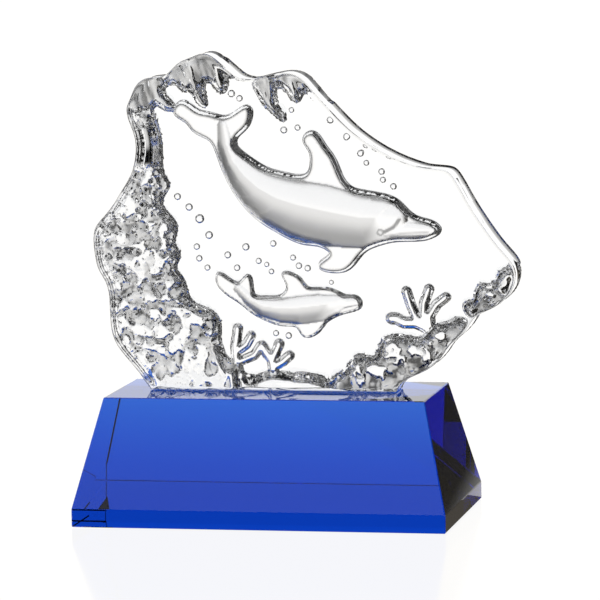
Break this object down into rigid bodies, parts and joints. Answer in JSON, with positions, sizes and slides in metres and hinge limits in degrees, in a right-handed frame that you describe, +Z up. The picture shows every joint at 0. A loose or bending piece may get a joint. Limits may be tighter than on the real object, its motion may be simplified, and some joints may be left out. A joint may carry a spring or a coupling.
{
  "type": "crystal glass figurine",
  "caption": "Free-standing clear crystal slab with an irregular rock-like outline and sea animals sunk into its back, bonded upright on a tapered blue crystal plinth.",
  "frame": {"origin": "centre of the plinth's underside, on the surface that the object stands on", "axes": "+Z up; the slab's polished face and the plinth's long front face look along -Y; +X to the right as seen from the front"},
  "size_m": [0.1845, 0.09, 0.197],
  "materials": {
    "clear_crystal": "polished, with satin and rough moulded areas",
    "blue_crystal": "cut and polished",
    "clear_bond": "clear cured adhesive"
  },
  "bodies": {
    "root": {"crystal_sculpture": "clear_crystal", "blue_base": "blue_crystal", "adhesive_film": "clear_bond"}
  },
  "joints": []
}
